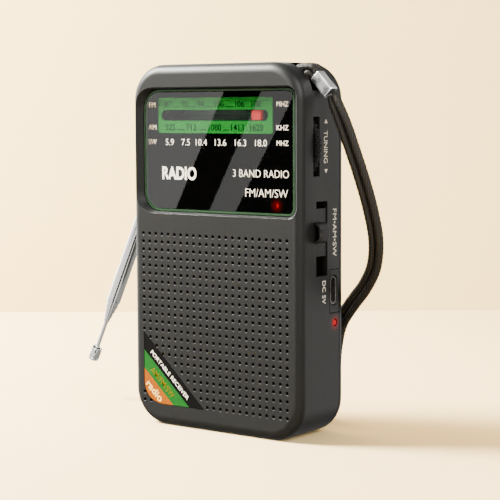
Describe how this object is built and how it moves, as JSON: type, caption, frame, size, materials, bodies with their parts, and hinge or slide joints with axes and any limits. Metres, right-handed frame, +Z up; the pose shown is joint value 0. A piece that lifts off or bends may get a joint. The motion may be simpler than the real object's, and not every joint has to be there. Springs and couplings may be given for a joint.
{
  "type": "pocket shortwave receiver",
  "caption": "Upright pocket radio with a recessed dial window, a speaker grille, side thumbwheel and band switch, a wrist strap and a telescopic antenna.",
  "frame": {"origin": "middle of the case's flat base", "axes": "+Z up along the case, -Y out of the front, +X to the side with the tuning wheel and the strap"},
  "size_m": [0.1286, 0.0535, 0.121],
  "materials": {
    "shell": "fine matt moulded texture",
    "lens": "polished acrylic",
    "trim": "printed green edge",
    "dial": "printed scale",
    "label": "printed film",
    "cloth": "felt",
    "steel": "plated",
    "chrome": "polished",
    "paper": "pressed paper pulp",
    "ferrite": "sintered ferrite",
    "copper": "bare wire and strip",
    "board": "green solder mask",
    "black": "satin moulding",
    "red": "satin",
    "cord": "braided",
    "nylon": "natural nylon",
    "wrap": "shrink film"
  },
  "bodies": {
    "housing": {"antenna_nut": "steel", "antenna_pivot_screw": "steel", "band_switch_body": "steel", "battery_contact_1": "copper", "battery_contact_2": "copper", "battery_pack": "wrap", "capacitor": "wrap", "case_screw_1": "steel", "case_screw_2": "steel", "case_screw_3": "steel", "case_screw_4": "steel", "charge_led": "red", "circuit_board": "board", "corner_label": "label", "crystal_can": "steel", "dial_cord": "nylon", "dial_scale_plate": "dial", "earphone_jack": "black", "ferrite_coil": "copper", "ferrite_rod": "ferrite", "filter_can": "steel", "front_shell": "shell", "idler_pulley_pin": "steel", "pointer_rail": "steel", "port_panel": "shell", "radio_chip": "black", "rear_shell": "shell", "speaker_cloth": "cloth", "speaker_cone": "paper", "speaker_frame": "steel", "speaker_magnet": "ferrite", "strap_bar": "steel", "strap_clip": "chrome", "strap_cord": "cord", "strap_loop": "cord", "tuning_led": "red", "tuning_potentiometer": "steel", "usb_c_socket": "steel", "volume_potentiometer": "steel", "window_lens": "lens", "window_trim": "trim"},
    "tuning_set": {"tuning_wheel": "black", "tuning_wheel_screw": "steel", "tuning_shaft": "nylon"},
    "volume_set": {"volume_wheel": "black", "volume_wheel_screw": "steel", "volume_shaft": "nylon"},
    "idler": {"idler_pulley": "nylon"},
    "pointer": {"dial_pointer": "red"},
    "band_switch": {"band_switch_knob": "black"},
    "battery_door": {"battery_cover": "shell"},
    "antenna_arm": {"antenna_knuckle": "chrome", "antenna_tube_1": "chrome"},
    "antenna_section_2": {"antenna_tube_2": "chrome"},
    "antenna_section_3": {"antenna_tube_3": "chrome"},
    "antenna_section_4": {"antenna_tube_4": "chrome"},
    "antenna_section_5": {"antenna_tube_5": "chrome"},
    "antenna_whip": {"antenna_rod": "chrome", "antenna_tip": "chrome"}
  },
  "joints": [
    {"name": "tuning_turn", "type": "hinge", "parent": "housing", "child": "tuning_set", "pos_m": [0.0211, 0, 0.0943], "axis": [0, 1, 0], "range_deg": [-166, 15]},
    {"name": "idler_turn", "type": "hinge", "parent": "housing", "child": "idler", "pos_m": [-0.027, 0, 0.1028], "axis": [0, 1, 0], "range_deg": [-520, 50]},
    {"name": "pointer_slide", "type": "slide", "parent": "housing", "child": "pointer", "axis": [1, 0, 0], "range_m": [-0.0363, 0.0034]},
    {"name": "volume_turn", "type": "hinge", "parent": "housing", "child": "volume_set", "pos_m": [-0.02715, 0, 0.08], "axis": [0, 1, 0], "range_deg": [-200, 70]},
    {"name": "band_slide", "type": "slide", "parent": "housing", "child": "band_switch", "axis": [0, 0, 1], "range_m": [-0.002, 0.002]},
    {"name": "battery_door_lift", "type": "slide", "parent": "housing", "child": "battery_door", "axis": [0, 1, 0], "range_m": [0, 0.028]},
    {"name": "antenna_swing", "type": "hinge", "parent": "housing", "child": "antenna_arm", "pos_m": [-0.03, 0.00995, 0.11], "axis": [0, 1, 0], "range_deg": [-25, 155]},
    {"name": "antenna_pull_2", "type": "slide", "parent": "antenna_arm", "child": "antenna_section_2", "axis": [-0.4226, 0, -0.9063], "range_m": [0, 0.062]},
    {"name": "antenna_pull_3", "type": "slide", "parent": "antenna_section_2", "child": "antenna_section_3", "axis": [-0.4226, 0, -0.9063], "range_m": [0, 0.062]},
    {"name": "antenna_pull_4", "type": "slide", "parent": "antenna_section_3", "child": "antenna_section_4", "axis": [-0.4226, 0, -0.9063], "range_m": [0, 0.062]},
    {"name": "antenna_pull_5", "type": "slide", "parent": "antenna_section_4", "child": "antenna_section_5", "axis": [-0.4226, 0, -0.9063], "range_m": [0, 0.062]},
    {"name": "antenna_pull_rod", "type": "slide", "parent": "antenna_section_5", "child": "antenna_whip", "axis": [-0.4226, 0, -0.9063], "range_m": [0, 0.062]}
  ],
  "couplings": [
    {"joint": "idler_turn", "follows": "tuning_turn", "ratio": 3.125},
    {"joint": "pointer_slide", "follows": "tuning_turn", "m_per_rad": 0.0125}
  ]
}
